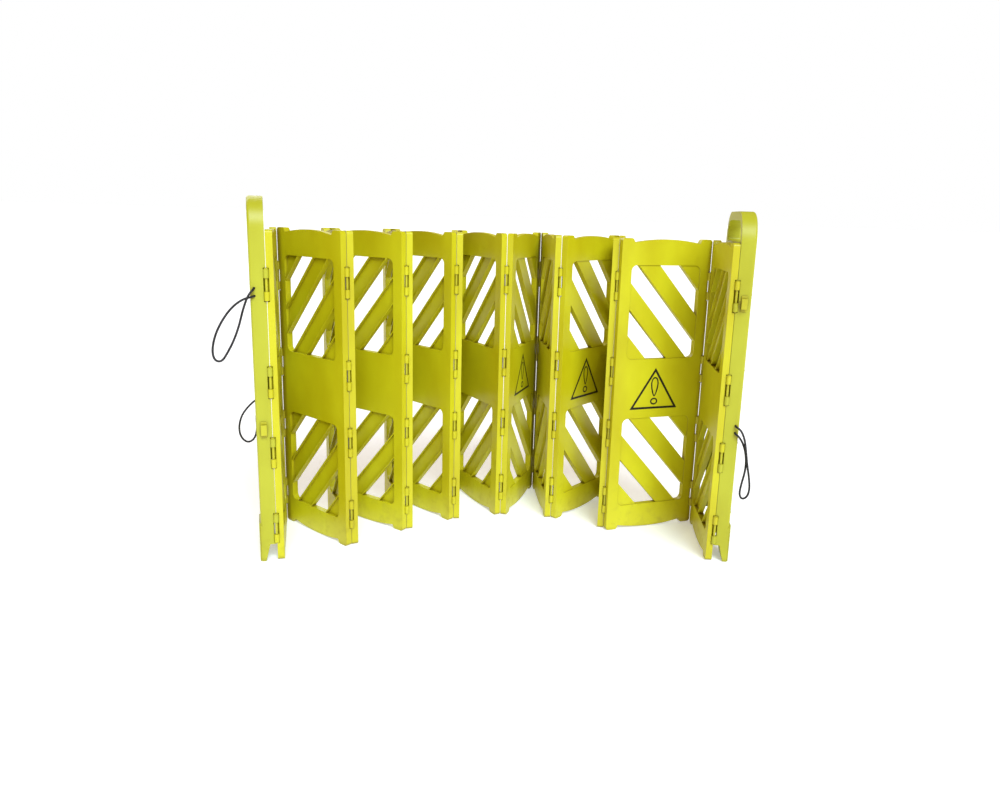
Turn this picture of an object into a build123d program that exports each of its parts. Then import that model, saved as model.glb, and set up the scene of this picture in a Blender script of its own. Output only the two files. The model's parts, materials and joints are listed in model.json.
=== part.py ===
from build123d import *
import os
from math import cos, pi, radians, sin, tan

# A folding safety barrier: fourteen slatted leaves between two end covers,
# joined edge to edge by pinned hinges, so that the row closes like an accordion.
# Millimetres, +Z up, the floor at Z = 0, the row's middle at X = Y = 0.

# ---- leaves ----
leaf_height = 930.0
hinge_pitch = 312.0  # from one hinge axis to the next, along the leaf
leaf_thickness = 19.0
face_gap = 1.0  # between two leaves folded flat together
edge_gap = 1.0  # between two leaves opened out in line
rail_height = 80.0
stile_width = 36.0
centre_block_height = 190.0
window_corner_radius = 18.0
slot_width = 54.0
bar_width = 54.0
slot_angle = 48.0
front_recess = 2.5
back_recess = 9.0
lip_width = 3.0
ear_width = 36.0
ear_step = 13.0
ear_corner_radius = 9.0
belly_clearance = 2.0  # the bottom edge's middle stays this far off the floor

# ---- hinges ----
hinge_below_top = 144.0
hinge_heights = [98.0, 321.0, 521.0, leaf_height - hinge_below_top]
knuckle_radius = 7.0
knuckle_height = 24.0
bare_pin_height = 36.0
knuckle_clearance = 0.6
pin_radius = 3.5
pin_clearance = 0.05
pin_head_radius = 5.5
pin_head_height = 2.5
pin_tail = 2.0

# ---- end covers ----
handle_rise = 86.0  # how far the arch stands above the leaves
cover_overhang = 18.0  # how much wider a cover is than the hinges' pitch
cover_height = leaf_height + handle_rise
cover_width = hinge_pitch + cover_overhang
cover_depth = 42.0
cover_wall = 4.5
cover_corner_radius = 84.0
handle_bar = 24.0
handle_inner_radius = 50.0
sill_corner_radius = 8.0
hollow_corner_radius = 20.0
handle_sill = 34.0
rim_lift = 50.0
foot_width = 84.0
foot_tip_depth = 12.0
foot_heel = 16.0  # the foot's inner side goes on upwards this far above the rim
foot_gusset = 60.0  # and slants back to the wall by this height above it
skid_height = 114.0
skid_depth = 4.0
skid_inset = 4.0
cover_rib = 4.0
cover_rib_spacing = 170.0
cover_edge_radius = 7.0
cover_recess = 2.0

# ---- elastic loops, their ends and their hooks ----
cord_diameter = 6.0
cord_hole_clearance = 0.3
cord_inset = 11.0  # the cord holes' distance from the cover's outer face
loop_below_top = 163.0
loop_height_upper = leaf_height - loop_below_top
loop_height_lower = 390.0
loop_height_right = 408.0  # the right cover's lower loop, on its hinge edge
loop_hole_spacing = 21.0
ferrule_radius = 6.0
ferrule_length = 12.0
ferrule_chamfer = 1.0
hook_width = 16.0
hook_height = 44.0
hook_base = 3.0
hook_reach = 9.0
hook_lip = 4.0
hook_edge_gap = 1.0  # from the hook's side to the cord holes' middle line
arc_share = 0.45  # of the shorter run beside a corner that its arc takes up

# ---- the standing pose: the angle between the two faces at each hinge ----
cover_left_angle = 3.0
leaf_angles = [34.3, 22.6, 29.1, 33.3, 24.3, 38.8, 22.8, 48.2, 24.2, 44.8, 27.2, 59.3, 66.6]
cover_right_angle = 4.0
middle_leaf = 8
middle_leaf_heading = -58.9

leaf_count = len(leaf_angles) + 1
half_step = (leaf_thickness + face_gap) / 2
window_width = hinge_pitch - 2 * stile_width
window_height = (leaf_height - 2 * rail_height - centre_block_height) / 2
window_heights = [rail_height + window_height / 2, leaf_height - rail_height - window_height / 2]
site_half = bare_pin_height / 2 + knuckle_height
cover_inner = face_gap / 2
cover_outer = cover_inner + cover_depth
cover_near = edge_gap / 2
cover_far = cover_near + cover_width
sill_top = cover_height - cover_corner_radius


def turned_point(x, y, heading):
    """The point (x, y) turned by heading degrees about the origin."""
    c, s = cos(radians(heading)), sin(radians(heading))
    return (x * c - y * s, x * s + y * c)


def leaf_axes(number):
    """The hinge axes of a leaf in its own frame: its first and its second edge."""
    side = half_step if number % 2 else -half_step
    return (0.0, side), (hinge_pitch, -side)


def leaf_headings():
    """The heading of each leaf as it stands, from its first hinge to its second."""
    headings = {middle_leaf: middle_leaf_heading}
    for number in range(middle_leaf, leaf_count):
        turn = 180 - leaf_angles[number - 1]
        headings[number + 1] = headings[number] + (-turn if number % 2 else turn)
    for number in range(middle_leaf - 1, 0, -1):
        turn = 180 - leaf_angles[number - 1]
        headings[number] = headings[number + 1] - (-turn if number % 2 else turn)
    return headings


def leaf_origins(headings):
    """Each leaf's origin, found by walking both ways along the hinges from the middle leaf."""
    origins = {middle_leaf: (0.0, 0.0)}
    for number in range(middle_leaf, leaf_count):
        shared = turned_point(*leaf_axes(number)[1], headings[number])
        own = turned_point(*leaf_axes(number + 1)[0], headings[number + 1])
        x, y = origins[number]
        origins[number + 1] = (x + shared[0] - own[0], y + shared[1] - own[1])
    for number in range(middle_leaf - 1, 0, -1):
        shared = turned_point(*leaf_axes(number + 1)[0], headings[number + 1])
        own = turned_point(*leaf_axes(number)[1], headings[number])
        x, y = origins[number + 1]
        origins[number] = (x + shared[0] - own[0], y + shared[1] - own[1])
    return origins


def standing_plane(x, y, heading):
    """A level plane at (x, y) whose X runs along the heading."""
    return Plane(origin=(x, y, 0), x_dir=(cos(radians(heading)), sin(radians(heading)), 0), z_dir=(0, 0, 1))


headings = leaf_headings()
origins = leaf_origins(headings)
leaf_planes = {n: standing_plane(*origins[n], headings[n]) for n in headings}
hinge_points = [leaf_planes[1].from_local_coords((*leaf_axes(1)[0], 0))]
for number in sorted(headings):
    hinge_points.append(leaf_planes[number].from_local_coords((*leaf_axes(number)[1], 0)))
cover_left_heading = headings[1] + cover_left_angle
cover_right_heading = headings[leaf_count] + 180 - cover_right_angle
cover_left_plane = standing_plane(hinge_points[0].X, hinge_points[0].Y, cover_left_heading)
cover_right_plane = standing_plane(hinge_points[-1].X, hinge_points[-1].Y, cover_right_heading)


# ---- shared outlines ----
def make_slots():
    """The three slanting slots of one window, about the window's middle."""
    pitch = slot_width + bar_width
    reach = window_width + window_height
    with BuildSketch() as slots:
        with Locations(Rotation(0, 0, -slot_angle)):
            with Locations((0, -pitch), (0, 0), (0, pitch)):
                Rectangle(reach, slot_width)
        RectangleRounded(window_width, window_height, window_corner_radius, mode=Mode.INTERSECT)
    return slots.sketch


slot_shape = make_slots()


def make_leaf_body(sign_side):
    """One slatted leaf. sign_side is -1 or +1: the side in Y that carries the smooth face."""
    front = Plane((0, sign_side * leaf_thickness / 2, 0), x_dir=(-sign_side, 0, 0), z_dir=(0, sign_side, 0))
    back = Plane((0, -sign_side * leaf_thickness / 2, 0), x_dir=(-sign_side, 0, 0), z_dir=(0, sign_side, 0))
    middle_x = -sign_side * hinge_pitch / 2
    left = middle_x - hinge_pitch / 2 + edge_gap / 2
    right = middle_x + hinge_pitch / 2 - edge_gap / 2
    window_centres = [(middle_x, height) for height in window_heights]
    with BuildPart() as leaf:
        with BuildSketch(front):
            with BuildLine():
                Line((left, 0), (left + ear_width, 0))
                Line((left + ear_width, 0), (left + ear_width + ear_step / 2, ear_step))
                ThreePointArc(
                    (left + ear_width + ear_step / 2, ear_step),
                    (middle_x, belly_clearance),
                    (right - ear_width - ear_step / 2, ear_step),
                )
                Line((right - ear_width - ear_step / 2, ear_step), (right - ear_width, 0))
                Line((right - ear_width, 0), (right, 0))
                Line((right, 0), (right, leaf_height))
                Line((right, leaf_height), (right - ear_width, leaf_height))
                Line(
                    (right - ear_width, leaf_height),
                    (right - ear_width - ear_step / 2, leaf_height - ear_step),
                )
                ThreePointArc(
                    (right - ear_width - ear_step / 2, leaf_height - ear_step),
                    (middle_x, leaf_height - belly_clearance),
                    (left + ear_width + ear_step / 2, leaf_height - ear_step),
                )
                Line(
                    (left + ear_width + ear_step / 2, leaf_height - ear_step),
                    (left + ear_width, leaf_height),
                )
                Line((left + ear_width, leaf_height), (left, leaf_height))
                Line((left, leaf_height), (left, 0))
            make_face()
        extrude(amount=-leaf_thickness)
        upright_edges = leaf.edges().filter_by(Axis.Y)
        fillet(upright_edges.group_by(Axis.Z)[-1] + upright_edges.group_by(Axis.Z)[0], ear_corner_radius)
        with BuildSketch(front):
            with Locations(*window_centres):
                RectangleRounded(window_width, window_height, window_corner_radius)
        extrude(amount=-front_recess, mode=Mode.SUBTRACT)
        with BuildSketch(back):
            with Locations(*window_centres):
                RectangleRounded(window_width, window_height, window_corner_radius)
            with Locations(*window_centres):
                lips = offset(slot_shape, lip_width, kind=Kind.INTERSECTION, mode=Mode.PRIVATE)
                add(lips, mode=Mode.SUBTRACT)
        extrude(amount=back_recess, mode=Mode.SUBTRACT)
        with BuildSketch(front):
            with Locations(*window_centres):
                add(slot_shape)
        extrude(amount=-leaf_thickness, mode=Mode.SUBTRACT)
    return leaf


def cut_hinge_room(at, upper):
    """In the open part, clears the mate's knuckles and the pins along the axis at (x, y)."""
    top = site_half + pin_head_height + knuckle_clearance
    bottom = -site_half - pin_tail - knuckle_clearance
    own_low = bare_pin_height / 2 if upper else -site_half
    own_high = own_low + knuckle_height
    for height in hinge_heights:
        for low, high in ((bottom, own_low), (own_high, top)):
            with Locations((at[0], at[1], height + (low + high) / 2)):
                Cylinder(knuckle_radius + knuckle_clearance, high - low, mode=Mode.SUBTRACT)


def add_knuckles(at, upper):
    """In the open part, adds one bored knuckle at each hinge height along the axis at (x, y)."""
    shift = (bare_pin_height + knuckle_height) / 2 * (1 if upper else -1)
    for height in hinge_heights:
        with Locations((at[0], at[1], height + shift)):
            Cylinder(knuckle_radius, knuckle_height)
            Cylinder(pin_radius + pin_clearance, knuckle_height, mode=Mode.SUBTRACT)


def make_leaf(number):
    """A leaf with lower knuckles along its first edge and upper knuckles along its second."""
    first, second = leaf_axes(number)
    with BuildPart() as leaf:
        add(make_leaf_body(-1 if number % 2 else 1).part)
        cut_hinge_room(first, upper=False)
        cut_hinge_room(second, upper=True)
        add_knuckles(first, upper=False)
        add_knuckles(second, upper=True)
    return leaf


def make_hinge_pins():
    """The four pins of one hinge line: a head on top, and a tail below the lower knuckle."""
    with BuildPart() as pins:
        for height in hinge_heights:
            with BuildSketch(Plane.XY.offset(height - site_half - pin_tail)):
                Circle(pin_radius)
            extrude(amount=2 * site_half + pin_tail)
            with BuildSketch(Plane.XY.offset(height + site_half)):
                Circle(pin_head_radius)
            extrude(amount=pin_head_height)
    return pins


# ---- end covers, drawn for the left one: X along it, Y outwards, its hinge axis on Z ----
cord_depth = cover_outer - cord_inset
loop_heights = {
    "upper": loop_height_upper,
    "lower": loop_height_lower,
    "right": loop_height_right,
}


def loop_holes(level):
    """The heights of the two holes that one loop's ends go into."""
    return [loop_heights[level] + loop_hole_spacing / 2, loop_heights[level] - loop_hole_spacing / 2]


def make_cover(side, near_loop, far_loop, upper_knuckles):
    """An end cover. side is +1 when its outer face looks to +Y; the loops' levels are by name."""
    middle_x = (cover_near + cover_far) / 2
    pocket_top = sill_top - handle_sill
    pocket_height = pocket_top - rim_lift
    outer_y = side * cover_outer
    hand_hole_radii = [sill_corner_radius, handle_inner_radius, handle_inner_radius, sill_corner_radius]
    with BuildPart() as cover:
        # the shell, with its arched top, from the inner face outwards
        with BuildSketch(Plane((0, side * cover_inner, 0), x_dir=(-side, 0, 0), z_dir=(0, side, 0))):
            with Locations((-side * middle_x, (rim_lift + cover_height) / 2)):
                Rectangle(cover_width, cover_height - rim_lift)
        extrude(amount=cover_depth)
        fillet(cover.edges().filter_by(Axis.Y).group_by(Axis.Z)[-1], cover_corner_radius)
        # the hand hole under the arch
        with BuildSketch(Plane.XZ):
            with BuildLine():
                FilletPolyline(
                    (cover_near + handle_bar, sill_top),
                    (cover_near + handle_bar, cover_height - handle_bar),
                    (cover_far - handle_bar, cover_height - handle_bar),
                    (cover_far - handle_bar, sill_top),
                    radius=hand_hole_radii,
                    close=True,
                )
            make_face()
        extrude(amount=2 * cover_outer, both=True, mode=Mode.SUBTRACT)
        # rounded outer edges, so that the handle is kind to the hand
        outer_face = cover.faces().sort_by(Axis.Y)[-1 if side > 0 else 0]
        fillet(outer_face.edges(), cover_edge_radius)
        # the hollow inside, open at the bottom
        hollow_left = -side * middle_x - cover_width / 2 + cover_wall
        hollow_right = -side * middle_x + cover_width / 2 - cover_wall
        hollow_radii = [cover_wall, hollow_corner_radius, hollow_corner_radius, cover_wall]
        floor_y = side * (cover_outer - cover_wall)
        with BuildSketch(Plane((0, floor_y, 0), x_dir=(-side, 0, 0), z_dir=(0, side, 0))):
            with BuildLine():
                FilletPolyline(
                    (hollow_left, 0),
                    (hollow_left, pocket_top),
                    (hollow_right, pocket_top),
                    (hollow_right, 0),
                    radius=hollow_radii,
                    close=True,
                )
            make_face()
        extrude(amount=-cover_depth, mode=Mode.SUBTRACT)
        # stiffening ribs across and up the hollow
        rib_depth = cover_depth - 3 * cover_wall
        rib_count = int(pocket_height / cover_rib_spacing)
        for row in range(rib_count):
            height = rim_lift + (row + 0.5) * pocket_height / rib_count
            with Locations((middle_x, outer_y - side * (cover_wall + rib_depth) / 2, height)):
                Box(cover_width - cover_wall, cover_wall + rib_depth, cover_rib)
        for x in (middle_x - cover_width / 5, middle_x + cover_width / 5):
            with Locations((x, outer_y - side * (cover_wall + rib_depth) / 2, rim_lift + pocket_height / 2)):
                Box(cover_rib, cover_wall + rib_depth, pocket_height)
        # two feet, each tapering to its tip at the outer face, with a raised skid plate
        for x in (cover_near, cover_far - foot_width):
            with BuildSketch(Plane.YZ.offset(x)):
                with BuildLine():
                    Polyline(
                        (outer_y, 0),
                        (outer_y - side * foot_tip_depth, 0),
                        (outer_y - side * 2 * foot_tip_depth, rim_lift),
                        (outer_y - side * 2 * foot_tip_depth, rim_lift + foot_heel),
                        (outer_y - side * cover_wall / 2, rim_lift + foot_gusset),
                        (outer_y, rim_lift + foot_gusset),
                        close=True,
                    )
                make_face()
            extrude(amount=foot_width)
            with Locations((x + foot_width / 2, outer_y, skid_height / 2)):
                Box(foot_width - 2 * skid_inset, 2 * skid_depth, skid_height)
        # shallow fields in the outer face, with slanting bars left standing
        with BuildSketch(Plane((0, outer_y, 0), x_dir=(-side, 0, 0), z_dir=(0, side, 0))):
            with Locations(*[(-side * middle_x, height) for height in window_heights]):
                add(slot_shape)
        extrude(amount=-cover_recess, mode=Mode.SUBTRACT)
        # the hinge edge
        cut_hinge_room((0, 0), upper_knuckles)
        add_knuckles((0, 0), upper_knuckles)
        # the cord holes through both rims
        for x, level in ((cover_near, near_loop), (cover_far, far_loop)):
            for height in loop_holes(level):
                with Locations(Location((x, side * cord_depth, height), (0, 90, 0))):
                    Cylinder(cord_diameter / 2 + cord_hole_clearance, 3 * cover_wall, mode=Mode.SUBTRACT)
    return cover


def make_ferrules(side, end, level):
    """The two crimped ends of a loop, inside its rim. end is -1 at the hinge edge, +1 at the other."""
    face = cover_near + cover_wall if end < 0 else cover_far - cover_wall
    with BuildPart() as ferrules:
        for height in loop_holes(level):
            with BuildSketch(Plane((face, side * cord_depth, height), x_dir=(0, 1, 0), z_dir=(-end, 0, 0))):
                Circle(ferrule_radius)
            extrude(amount=ferrule_length)
        chamfer(ferrules.edges().filter_by(GeomType.CIRCLE), ferrule_chamfer)
    return ferrules


def make_hook(side, end, level):
    """A cleat on the outside of a rim, which the other cover's loop is stretched over."""
    face = cover_near if end < 0 else cover_far
    hook_y = side * (cord_depth - hook_width / 2 - hook_edge_gap)
    plane = Plane((face, hook_y, loop_heights[level]), x_dir=(end, 0, 0), z_dir=(0, -side, 0))
    with BuildPart() as hook:
        with BuildSketch(plane):
            with BuildLine():
                up = -side * end
                Polyline(
                    (0, up * -hook_height / 2),
                    (hook_base, up * -hook_height / 2),
                    (hook_base, up * -hook_height / 6),
                    (hook_reach, up * -hook_height / 6),
                    (hook_reach, up * -hook_height / 3),
                    (hook_reach + hook_lip, up * -hook_height / 3),
                    (hook_reach + hook_lip, up * hook_height / 3),
                    (hook_reach, up * hook_height / 3),
                    (hook_reach, up * hook_height / 6),
                    (hook_base, up * hook_height / 6),
                    (hook_base, up * hook_height / 2),
                    (0, up * hook_height / 2),
                    close=True,
                )
            make_face()
        extrude(amount=hook_width / 2, both=True)
    return hook


# ---- the elastic loops: (away from the rim, outwards, up) from midway between a loop's two holes ----
hole = loop_hole_spacing / 2
swept_route = [
    (-cover_wall, 0, hole), (9, 0, hole), (15.5, 16, -7), (15, 30, -44), (13, 41, -86), (11, 56, -126),
    (9.5, 74, -160), (8.5, 89, -183), (8, 106, -180), (7.5, 112, -156), (6.5, 104, -116), (6, 85, -76),
    (6, 59, -40), (6.5, 29, -17), (8, 0, -hole), (-cover_wall, 0, -hole),
]
hanging_route = [
    (-cover_wall, 0, hole), (9, 0, hole), (14, 15, 2), (15.5, 27, -24), (15, 34, -60), (13.5, 41, -100),
    (11, 50, -138), (9.5, 55, -172), (8.5, 51, -196), (8, 37, -206), (7.5, 27, -192), (7, 31, -158),
    (6, 38, -122), (6, 38, -86), (6.5, 30, -50), (7, 15, -22), (8, 0, -hole), (-cover_wall, 0, -hole),
]
round_route = [
    (-cover_wall, 0, hole), (9, 0, hole), (14.5, 17, 2), (15, 38, -18), (14, 58, -44), (12, 68, -80),
    (10, 64, -114), (8.5, 44, -134), (7.5, 22, -122), (6.5, 13, -88), (6, 15, -52), (6.5, 11, -26),
    (8, 0, -hole), (-cover_wall, 0, -hole),
]


def corner_radii(points):
    """The largest tidy radius at each corner of a route."""
    radii = []
    for before, here, after in zip(points, points[1:], points[2:]):
        come, go = Vector(*here) - Vector(*before), Vector(*after) - Vector(*here)
        radii.append(arc_share * min(come.length, go.length) / tan(radians(come.get_angle(go) / 2)))
    return radii


def make_loop(side, end, level, route):
    """One elastic cord loop, from inside the rim, out, round and back in."""
    face = cover_near if end < 0 else cover_far
    points = [
        (face + end * away, side * (cord_depth + outwards), loop_heights[level] + up)
        for away, outwards, up in route
    ]
    radii = corner_radii(points)
    with BuildPart() as loop:
        with BuildLine() as path:
            FilletPolyline(*points, radius=radii)
        with BuildSketch(Plane(origin=path.line @ 0, z_dir=path.line % 0)):
            Circle(cord_diameter / 2)
        sweep()
    length = sum(edge.length for edge in path.edges())
    share = loop.part.volume / (pi * (cord_diameter / 2) ** 2 * length)
    print(f"loop {level}: length {length:.0f}, volume share {share:.3f}, radii", [round(r) for r in radii])
    return loop


# ---- the whole barrier ----
pieces = {}


def keep(name, built, plane):
    """Files a finished piece under its name, standing at its plane."""
    built.part.label = name
    pieces[name] = built.part.moved(plane.location)
    pieces[name].label = name


left_cover = make_cover(1, "upper", "lower", upper_knuckles=True)
right_cover = make_cover(-1, "right", "upper", upper_knuckles=False)
keep("end_cover_left", left_cover, cover_left_plane)
keep("end_cover_right", right_cover, cover_right_plane)
leaf_kinds = {1: make_leaf(1), 0: make_leaf(2)}
for number, plane in sorted(leaf_planes.items()):
    keep(f"leaf_{number:02d}", leaf_kinds[number % 2], plane)
pin_set = make_hinge_pins()
for number, point in enumerate(hinge_points, start=1):
    keep(f"hinge_pins_{number:02d}", pin_set, Plane((point.X, point.Y, 0)))

loop_places = [
    ("left_near", 1, -1, "upper", swept_route, cover_left_plane),
    ("left_far", 1, 1, "lower", round_route, cover_left_plane),
    ("right_near", -1, -1, "right", hanging_route, cover_right_plane),
    ("right_far", -1, 1, "upper", hanging_route, cover_right_plane),
]
for place, side, end, level, route, plane in loop_places:
    keep(f"elastic_loop_{place}", make_loop(side, end, level, route), plane)
    keep(f"loop_ferrules_{place}", make_ferrules(side, end, level), plane)
    keep(f"cord_hook_{place}", make_hook(side, end, "lower" if level == "upper" else "upper"), plane)

# the origin goes to the middle of the floor under everything but the cords
boxes = [piece.bounding_box() for name, piece in pieces.items() if "elastic" not in name]
low = Vector(min(b.min.X for b in boxes), min(b.min.Y for b in boxes), min(b.min.Z for b in boxes))
high = Vector(max(b.max.X for b in boxes), max(b.max.Y for b in boxes), max(b.max.Z for b in boxes))
middle = Vector((low.X + high.X) / 2, (low.Y + high.Y) / 2, low.Z)
to_origin = Location(-middle)

os.makedirs("parts", exist_ok=True)
for name, piece in pieces.items():
    export_step(piece.moved(to_origin), f"parts/{name}.step")
print("origin shift", -middle, "size", high - low)
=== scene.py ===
import json
import math

import bpy
from mathutils import Matrix, Vector


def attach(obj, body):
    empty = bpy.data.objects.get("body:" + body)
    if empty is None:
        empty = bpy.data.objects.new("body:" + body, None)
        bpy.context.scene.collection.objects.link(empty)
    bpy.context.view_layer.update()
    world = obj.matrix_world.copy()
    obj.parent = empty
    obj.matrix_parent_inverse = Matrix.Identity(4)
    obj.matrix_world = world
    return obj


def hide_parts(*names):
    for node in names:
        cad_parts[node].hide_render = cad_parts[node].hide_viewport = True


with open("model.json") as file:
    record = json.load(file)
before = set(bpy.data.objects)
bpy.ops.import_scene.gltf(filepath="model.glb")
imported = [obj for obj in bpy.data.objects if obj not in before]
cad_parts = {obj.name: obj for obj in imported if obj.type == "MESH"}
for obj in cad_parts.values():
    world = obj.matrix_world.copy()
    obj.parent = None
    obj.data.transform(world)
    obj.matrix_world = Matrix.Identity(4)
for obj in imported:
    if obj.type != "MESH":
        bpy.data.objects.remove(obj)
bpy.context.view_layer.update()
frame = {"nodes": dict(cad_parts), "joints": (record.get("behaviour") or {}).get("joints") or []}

# ---- the barrier's own sizes, in metres, as the frame was built ----
HINGE_PITCH = 0.312
LEAF_THICKNESS = 0.019
FACE_GAP = 0.001
LEAF_COUNT = 14
COVER_OUTER = 0.0425
COVER_NEAR = 0.0005
COVER_FAR = 0.3305
CORD_INSET = 0.011
CORD_DIAMETER = 0.006
LOOP_HEIGHTS = {"upper": 0.767, "lower": 0.390, "right": 0.408}
COVER_ANGLES = {"left": 3.0, "right": 4.0}  # degrees, between a cover and its leaf
MM = 0.001


# ---- where things stand, worked out from the frame's hinges ----
HINGE_NAMES = (
    ["left_cover_hinge"]
    + [f"leaf_hinge_{n:02d}" for n in range(2, 9)]
    + ["leaf_fold"]
    + [f"leaf_hinge_{n:02d}" for n in range(10, 15)]
    + ["right_cover_hinge"]
)
joint_by_name = {joint["name"]: joint for joint in frame["joints"]}
hinges = [Vector(joint_by_name[name]["pos_m"]) for name in HINGE_NAMES]


def standing(origin, heading):
    """The matrix of a level frame at origin whose X runs along heading."""
    return Matrix.Translation(origin) @ Matrix.Rotation(heading, 4, "Z")


def leaf_frame(number):
    """A leaf's own frame: X from its first hinge to its second, Y through its thickness, Z up."""
    first, second = hinges[number - 1], hinges[number]
    side = 1 if number % 2 else -1
    half_step = side * (LEAF_THICKNESS + FACE_GAP) / 2
    across = second - first
    heading = math.atan2(across.y, across.x) + math.atan2(2 * half_step, HINGE_PITCH)
    offset = Matrix.Rotation(heading, 3, "Z") @ Vector((0, half_step, 0))
    return standing(first - offset, heading), heading


def cover_frame(hand):
    """An end cover's frame: its hinge axis at the origin, X along the cover, Z up."""
    if hand == "left":
        heading = leaf_frame(1)[1] + math.radians(COVER_ANGLES["left"])
        return standing(hinges[0], heading)
    heading = leaf_frame(LEAF_COUNT)[1] + math.pi - math.radians(COVER_ANGLES["right"])
    return standing(hinges[-1], heading)


# ---- shader maths ----
class Socket:
    """An output socket that adds Math nodes when it is used in an expression."""

    def __init__(self, paint, link):
        self.paint = paint
        self.link = link

    def _math(self, operation, first, second):
        return self.paint.node("ShaderNodeMath", {"operation": operation}, {0: first, 1: second})[0]

    def __add__(self, other):
        return self._math("ADD", self, other)

    def __radd__(self, other):
        return self._math("ADD", other, self)

    def __sub__(self, other):
        return self._math("SUBTRACT", self, other)

    def __rsub__(self, other):
        return self._math("SUBTRACT", other, self)

    def __mul__(self, other):
        return self._math("MULTIPLY", self, other)

    def __rmul__(self, other):
        return self._math("MULTIPLY", other, self)

    def between(self, low, high):
        """This value's place between low and high, kept within 0 and 1."""
        settings = {"clamp": True}
        sockets = {"Value": self, "From Min": low, "From Max": high}
        return self.paint.node("ShaderNodeMapRange", settings, sockets)[0]


class Paint:
    """A material under construction."""

    def __init__(self, name):
        self.material = bpy.data.materials.new(name)
        self.material.use_nodes = True
        self.tree = self.material.node_tree
        self.tree.nodes.clear()
        self.where = self.node("ShaderNodeTexCoord")["Object"]

    def node(self, kind, settings=None, sockets=None):
        """Adds a node, its settings first and then the values or links of its sockets."""
        made = self.tree.nodes.new(kind)
        for key, value in (settings or {}).items():
            setattr(made, key, value)
        for key, value in (sockets or {}).items():
            if isinstance(value, Socket):
                self.tree.links.new(value.link, made.inputs[key])
            else:
                made.inputs[key].default_value = value
        return Outputs(self, made)

    def noise(self, scale, detail=3.0, roughness=0.5, vector=None):
        """Noise from 0 to 1 over the piece."""
        sockets = {"Vector": vector or self.where, "Scale": scale, "Detail": detail, "Roughness": roughness}
        return self.node("ShaderNodeTexNoise", {}, sockets)[0]

    def stretched(self, x, y, z):
        """The piece's coordinates scaled along each axis."""
        return self.node("ShaderNodeMapping", {}, {"Vector": self.where, "Scale": (x, y, z)})[0]

    def mix(self, amount, first, second):
        """A colour between two others."""
        sockets = {0: amount, 6: first, 7: second}
        return self.node("ShaderNodeMix", {"data_type": "RGBA"}, sockets)[2]

    def bump(self, height, strength, distance, soft_edge=None):
        """A bumped surface, over edges that a mould has softened where soft_edge says how far."""
        sockets = {"Height": height, "Strength": strength, "Distance": distance}
        if soft_edge:
            sockets["Normal"] = self.node("ShaderNodeBevel", {"samples": 4}, {"Radius": soft_edge})[0]
        return self.node("ShaderNodeBump", {}, sockets)[0]

    def finish(self, sockets):
        """The material, once its shader has these values and links."""
        shader = self.node("ShaderNodeBsdfPrincipled", {}, sockets)[0]
        self.node("ShaderNodeOutputMaterial", {}, {"Surface": shader})
        return self.material


class Outputs:
    """A node's outputs, by number or by name."""

    def __init__(self, paint, made):
        self.paint = paint
        self.made = made

    def __getitem__(self, place):
        return Socket(self.paint, self.made.outputs[place])


# ---- the finishes ----
SOFT_EDGE = 0.0012  # how far a mould rounds an edge
CORNER_SHADE_REACH = 0.016  # how far out of a corner its painted shade reaches
DIRTY_HEIGHT = 0.22  # scuffs fade out up to here
# how strongly the painted shade darkens corners, creases and gaps
CORNER_SHADE_AMOUNT = 0.72
SCUFF_AMOUNT = 0.30
SPECK_AMOUNT = 0.10
GRAIN_STRENGTH = 0.08
GRAIN_DEPTH = 0.002
# the dark brown of the painted shade in corners
CORNER_SHADE_COLOUR = (0.17, 0.095, 0.002, 1)
DUST_COLOUR = (0.25, 0.19, 0.03, 1)
CORD_BLACK = (0.006, 0.006, 0.008, 1)
CORD_DUSTY = (0.028, 0.028, 0.034, 1)
WEAVE_SCALE = 900.0
INK_BLACK = (0.006, 0.006, 0.006, 1)
INK_WORN = (0.20, 0.20, 0.03, 1)
METAL_DULL = (0.30, 0.30, 0.31, 1)
METAL_BRIGHT = (0.55, 0.55, 0.56, 1)


def lime_plastic(name, lit, deep, grain=1.0):
    """Moulded lime-yellow plastic: cloudy pigment, a fine grain, painted shade in its corners, and dust and
    scuffs low down.
    """
    paint = Paint(name)
    cloud = paint.noise(7.0, 3.0, 0.5, paint.stretched(1, 1, 0.5))
    speckle = paint.noise(260.0, 2.0)
    specks = paint.noise(420.0, 2.0, 0.7).between(0.66, 0.74)
    height = paint.node("ShaderNodeSeparateXYZ", {}, {0: paint.where})[2]
    low_down = 1 - height.between(0.0, DIRTY_HEIGHT)
    scuffs = paint.noise(38.0, 5.0, 0.62).between(0.50, 0.74)
    # painted shade: an ambient occlusion mask darkens the colour towards dark brown in corners, recesses
    # and gaps between parts
    nearby = paint.node("ShaderNodeAmbientOcclusion", {"samples": 6}, {"Distance": CORNER_SHADE_REACH})["AO"]
    corners = (1 - nearby).between(0.12, 0.85)
    body = paint.mix(cloud.between(0.34, 0.66), (*deep, 1), (*lit, 1))
    corner_shaded = paint.mix(corners * CORNER_SHADE_AMOUNT, body, CORNER_SHADE_COLOUR)
    dusty = paint.mix(low_down * scuffs * SCUFF_AMOUNT + specks * SPECK_AMOUNT, corner_shaded, DUST_COLOUR)
    grained = paint.bump(speckle * 0.6 + cloud * 0.8, GRAIN_STRENGTH * grain, GRAIN_DEPTH, SOFT_EDGE)
    return paint.finish({
        "Base Color": dusty,
        "Roughness": 0.34 + cloud * 0.10 + speckle * 0.06 + low_down * scuffs * 0.2,
        "IOR": 1.49,
        "Normal": grained,
    })


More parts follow.
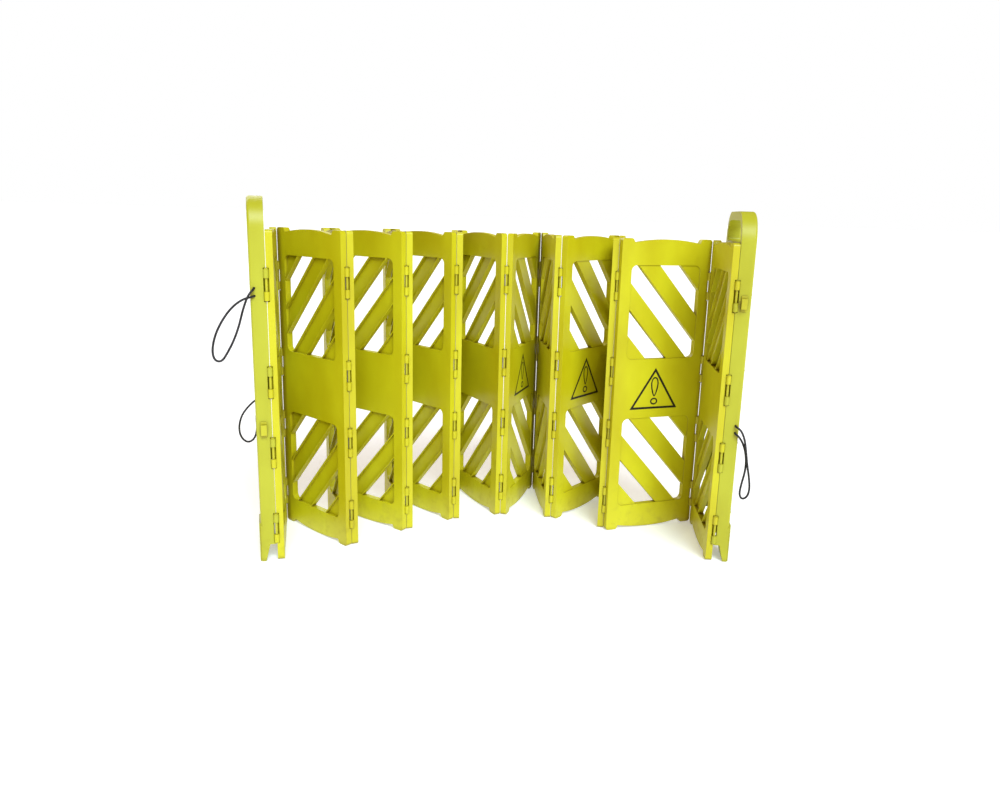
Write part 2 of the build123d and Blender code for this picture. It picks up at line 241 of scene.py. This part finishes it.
def braided_cord():
    """Black elastic cord: a woven sheath, raised in fine dots and dusty in places."""
    paint = Paint("elastic_braid")
    cells = {"Vector": paint.where, "Scale": WEAVE_SCALE}
    weave = paint.node("ShaderNodeTexVoronoi", {"feature": "F1"}, cells)[0]
    dust = paint.noise(60.0)
    return paint.finish({
        "Base Color": paint.mix(dust.between(0.35, 0.8), CORD_BLACK, CORD_DUSTY),
        "Roughness": 0.55 + weave * 0.25,
        "Normal": paint.bump(1 - weave, 0.5, 0.0006),
    })


def sign_ink():
    """Printed black, a little worn in specks."""
    paint = Paint("sign_ink")
    worn = paint.noise(320.0, 4.0, 0.6).between(0.62, 0.8)
    return paint.finish({
        "Base Color": paint.mix(worn * 0.35, INK_BLACK, INK_WORN),
        "Roughness": 0.42 + worn * 0.2,
    })


def crimped_metal():
    """Dull crimped metal."""
    paint = Paint("crimped_metal")
    brushed = paint.noise(180.0, 3.0, 0.6, paint.stretched(1, 1, 8))
    return paint.finish({
        "Base Color": paint.mix(brushed, METAL_DULL, METAL_BRIGHT),
        "Metallic": 1.0,
        "Roughness": 0.32 + brushed * 0.2,
    })


LEAF_PLASTIC = lime_plastic("leaf_plastic", (0.62, 0.60, 0.008), (0.53, 0.48, 0.003))
COVER_PLASTIC = lime_plastic("cover_plastic", (0.48, 0.50, 0.024), (0.42, 0.42, 0.012), 0.7)
PIN_PLASTIC = lime_plastic("pin_plastic", (0.56, 0.55, 0.020), (0.46, 0.43, 0.010), 0.5)
CORD_BRAID = braided_cord()
SIGN_INK = sign_ink()
FERRULE_METAL = crimped_metal()


def paint_piece(piece, material):
    """Gives a piece one material."""
    piece.data.materials.clear()
    piece.data.materials.append(material)


def clear_selection():
    """Nothing is selected or active."""
    bpy.ops.object.select_all(action="DESELECT")
    bpy.context.view_layer.objects.active = None


def choose(piece):
    """Only this piece is selected and active."""
    clear_selection()
    piece.select_set(True)
    bpy.context.view_layer.objects.active = piece


# ---- camera ----
CAMERA_PLACE = (0.0721, -2.4057, 0.9878)
CAMERA_DOWN = 12.98  # degrees below level
CAMERA_ROLL = 1.81  # degrees
CAMERA_LENS = 28.0
CAMERA_SHIFT = (-0.0185, -0.006)


def add_camera():
    """The view from the front, level with the handles and looking down a little."""
    bpy.ops.object.camera_add(location=CAMERA_PLACE)
    camera = bpy.context.object
    camera.name = "front_view"
    tilt = Matrix.Rotation(math.radians(90 - CAMERA_DOWN), 3, "X")
    roll = Matrix.Rotation(math.radians(CAMERA_ROLL), 3, "Z")
    camera.rotation_euler = (tilt @ roll).to_euler()
    camera.data.lens = CAMERA_LENS
    camera.data.shift_x, camera.data.shift_y = CAMERA_SHIFT
    bpy.context.scene.camera = camera


add_camera()


# ---- the elastic loops, in millimetres: (away from the rim, outwards, up) ----
HOLE = 10.5  # a loop's two holes are this far above and below its height
WALL = 4.5  # its ends start this far inside the rim
SWEPT_ROUTE = [
    (-WALL, 0, HOLE), (9, 0, HOLE), (15.5, 16, -7), (15, 30, -44), (13, 41, -86), (11, 56, -126),
    (9.5, 74, -160), (8.5, 89, -183), (8, 106, -180), (7.5, 112, -156), (6.5, 104, -116), (6, 85, -76),
    (6, 59, -40), (6.5, 29, -17), (8, 0, -HOLE), (-WALL, 0, -HOLE),
]
HANGING_ROUTE = [
    (-WALL, 0, HOLE), (9, 0, HOLE), (14, 15, 2), (15.5, 27, -24), (15, 34, -60), (13.5, 41, -100),
    (11, 50, -138), (9.5, 55, -172), (8.5, 51, -196), (8, 37, -206), (7.5, 27, -192), (7, 31, -158),
    (6, 38, -122), (6, 38, -86), (6.5, 30, -50), (7, 15, -22), (8, 0, -HOLE), (-WALL, 0, -HOLE),
]
ROUND_ROUTE = [
    (-WALL, 0, HOLE), (9, 0, HOLE), (14.5, 17, 2), (15, 38, -18), (14, 58, -44), (12, 68, -80),
    (10, 64, -114), (8.5, 44, -134), (7.5, 22, -122), (6.5, 13, -88), (6, 15, -52), (6.5, 11, -26),
    (8, 0, -HOLE), (-WALL, 0, -HOLE),
]
LOOPS = [  # place, cover, near (-1) or far (1) rim, height, route and length in metres
    ("left_near", "left", -1, "upper", SWEPT_ROUTE, 0.470),
    ("left_far", "left", 1, "lower", ROUND_ROUTE, 0.335),
    ("right_near", "right", -1, "right", HANGING_ROUTE, 0.465),
    ("right_far", "right", 1, "upper", HANGING_ROUTE, 0.465),
]


CORD_STEPS = 12
CORD_ROUNDNESS = 5


def add_loop(place, hand, end, level, route, length):
    """One elastic loop: a smooth line through its rim's two holes, as round as its cord."""
    side = 1 if hand == "left" else -1
    face = COVER_NEAR if end < 0 else COVER_FAR
    to_row = cover_frame(hand)
    points = [
        to_row @ Vector((
            face + end * away * MM,
            side * (COVER_OUTER - CORD_INSET + outwards * MM),
            LOOP_HEIGHTS[level] + up * MM,
        ))
        for away, outwards, up in route
    ]
    line = bpy.data.curves.new(f"elastic_cord_{place}", "CURVE")
    line.dimensions = "3D"
    spline = line.splines.new("NURBS")
    spline.points.add(len(points) - 1)
    for control, point in zip(spline.points, points):
        control.co = (*point, 1)
    spline.order_u = 3
    spline.use_endpoint_u = True
    spline.resolution_u = CORD_STEPS
    line.bevel_depth = CORD_DIAMETER / 2
    line.bevel_resolution = CORD_ROUNDNESS
    line.use_fill_caps = True
    cord = bpy.data.objects.new(f"elastic_cord_{place}", line)
    bpy.context.scene.collection.objects.link(cord)
    cord.data.materials.append(CORD_BRAID)
    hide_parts(f"elastic_loop_{place}")
    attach(cord, f"end_cover_{hand}")


for loop in LOOPS:
    add_loop(*loop)


# ---- the printed warning sign: a triangle with an exclamation mark, all in outline ----
SIGN_WIDTH = 0.169
SIGN_HEIGHT = 0.132
SIGN_LINE = 0.0070
SIGN_FROM_HINGE = 0.143
SIGN_LOW = 0.399
SIGN_RAISE = 0.0002
MARK_LINE = 0.0048
MARK_LOW = 0.040
MARK_HIGH = 0.103
MARK_HALF_WIDTH = 0.0172
MARK_WAIST = 0.74  # the share of that half width at mid height
MARK_SWELL = 0.26  # the share added towards its top and taken away towards its foot
MARK_STEPS = 40
DOT_MIDDLE = 0.0245
DOT_RADII = (0.0130, 0.0112)
DOT_STEPS = 28


def triangle(inset):
    """The sign's triangle about its base's middle, its sides moved inwards by inset."""
    slope = math.atan2(SIGN_HEIGHT, SIGN_WIDTH / 2)
    base = SIGN_WIDTH / 2 - inset / math.tan(slope / 2)
    return [(-base, inset), (base, inset), (0, SIGN_HEIGHT - inset / math.cos(slope))]


def teardrop(inset):
    """The mark's body: wide and round at its top, narrowing to a rounded foot."""
    middle = (MARK_LOW + MARK_HIGH) / 2
    points = []
    for step in range(MARK_STEPS):
        turn = 2 * math.pi * step / MARK_STEPS
        swell = MARK_WAIST + MARK_SWELL * math.sin(turn)
        half_width = MARK_HALF_WIDTH * swell - inset
        half_height = (MARK_HIGH - MARK_LOW) / 2 - inset
        points.append((half_width * math.cos(turn), middle + half_height * math.sin(turn)))
    return points


def ring(inset):
    """The mark's dot."""
    turns = [2 * math.pi * step / DOT_STEPS for step in range(DOT_STEPS)]
    wide, tall = (radius - inset for radius in DOT_RADII)
    return [(wide * math.cos(turn), DOT_MIDDLE + tall * math.sin(turn)) for turn in turns]


def draw_sign():
    """The sign as a thin mesh, upright in XZ and facing -Y, its base's middle at the origin."""
    line = bpy.data.curves.new("sign_outline", "CURVE")
    line.dimensions = "2D"
    line.fill_mode = "BOTH"
    line.extrude = SIGN_RAISE / 2
    outlines = [
        triangle(0), triangle(SIGN_LINE), teardrop(0), teardrop(MARK_LINE), ring(0), ring(MARK_LINE),
    ]
    for outline in outlines:
        spline = line.splines.new("POLY")
        spline.points.add(len(outline) - 1)
        for point, (x, y) in zip(spline.points, outline):
            point.co = (x, y, 0, 1)
        spline.use_cyclic_u = True
    drawn = bpy.data.objects.new("sign_outline", line)
    bpy.context.scene.collection.objects.link(drawn)
    choose(drawn)
    bpy.ops.object.convert(target="MESH")
    drawn.data.transform(Matrix.Rotation(math.pi / 2, 4, "X"))
    return drawn


def put_sign(pattern, number):
    """A copy of the sign printed on the smooth face of a leaf."""
    to_row = leaf_frame(number)[0]
    is_odd = number % 2 == 1
    depth = LEAF_THICKNESS / 2 + SIGN_RAISE / 2
    along = SIGN_FROM_HINGE if is_odd else HINGE_PITCH - SIGN_FROM_HINGE
    facing = Matrix.Identity(4) if is_odd else Matrix.Rotation(math.pi, 4, "Z")
    place = Matrix.Translation((along, -depth if is_odd else depth, SIGN_LOW))
    sign = bpy.data.objects.new(f"warning_sign_{number:02d}", pattern.data.copy())
    bpy.context.scene.collection.objects.link(sign)
    sign.data.transform(to_row @ place @ facing)
    paint_piece(sign, SIGN_INK)
    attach(sign, f"leaf_{number:02d}")


sign_pattern = draw_sign()
for number in range(1, LEAF_COUNT + 1):
    put_sign(sign_pattern, number)
bpy.data.objects.remove(sign_pattern)


# ---- finishes of the frame's own pieces ----
for name, piece in frame["nodes"].items():
    if name.startswith("leaf_"):
        paint_piece(piece, LEAF_PLASTIC)
    elif name.startswith("end_cover"):
        paint_piece(piece, COVER_PLASTIC)
    elif name.startswith("loop_ferrules"):
        paint_piece(piece, FERRULE_METAL)
    elif name.startswith(("hinge_pins", "cord_hook")):
        paint_piece(piece, PIN_PLASTIC)


# ---- floor and light ----
SUNS = {  # name: the way to it, its spread in degrees, its strength and its colour
    "key_light": ((0.35, -0.90, 0.85), 35.0, 3.4, (0.80, 0.92, 1.0)),
    "back_light": ((-0.55, 0.85, 0.65), 45.0, 1.3, (0.90, 0.96, 1.0)),
}
SHADE_COLOUR = (1.0, 0.58, 0.27, 1)
SHADE_STRENGTH = 0.34
FLOOR_GLOW = 0.34
FLOOR_SIZE = 400
SUN_DISTANCE = 4


def add_floor():
    """A white studio floor that hardly darkens far away."""
    bpy.ops.mesh.primitive_plane_add(size=FLOOR_SIZE, location=(0, 0, 0))
    floor = bpy.context.object
    floor.name = "floor"
    paint = Paint("studio_floor")
    pale = paint.noise(0.4)
    paint_piece(floor, paint.finish({
        "Base Color": paint.mix(pale, (0.88, 0.90, 0.93, 1), (0.90, 0.92, 0.95, 1)),
        "Roughness": 0.95,
        "Specular IOR Level": 0.1,
        "Emission Color": (0.93, 0.97, 1.0, 1),
        "Emission Strength": FLOOR_GLOW,
    }))


def add_sun(name, way, spread, strength, colour):
    """A broad, soft light from far away."""
    bpy.ops.object.light_add(type="SUN", location=Vector(way) * SUN_DISTANCE)
    sun = bpy.context.object
    sun.name = name
    sun.data.energy = strength
    sun.data.angle = math.radians(spread)
    sun.data.color = colour
    sun.rotation_euler = Vector(way).to_track_quat("Z", "Y").to_euler()


def add_world():
    """A white backdrop, and a warmer, dimmer light in the shade."""
    world = bpy.data.worlds.new("studio")
    world.use_nodes = True
    tree = world.node_tree
    tree.nodes.clear()
    shade = tree.nodes.new("ShaderNodeBackground")
    shade.inputs["Color"].default_value = SHADE_COLOUR
    shade.inputs["Strength"].default_value = SHADE_STRENGTH
    backdrop = tree.nodes.new("ShaderNodeBackground")
    backdrop.inputs["Color"].default_value = (1, 1, 1, 1)
    rays = tree.nodes.new("ShaderNodeLightPath")
    either = tree.nodes.new("ShaderNodeMixShader")
    output = tree.nodes.new("ShaderNodeOutputWorld")
    tree.links.new(rays.outputs["Is Camera Ray"], either.inputs[0])
    tree.links.new(shade.outputs[0], either.inputs[1])
    tree.links.new(backdrop.outputs[0], either.inputs[2])
    tree.links.new(either.outputs[0], output.inputs["Surface"])
    bpy.context.scene.world = world


clear_selection()
add_floor()
for name, settings in SUNS.items():
    add_sun(name, *settings)
add_world()
bpy.context.scene.view_settings.view_transform = "Standard"
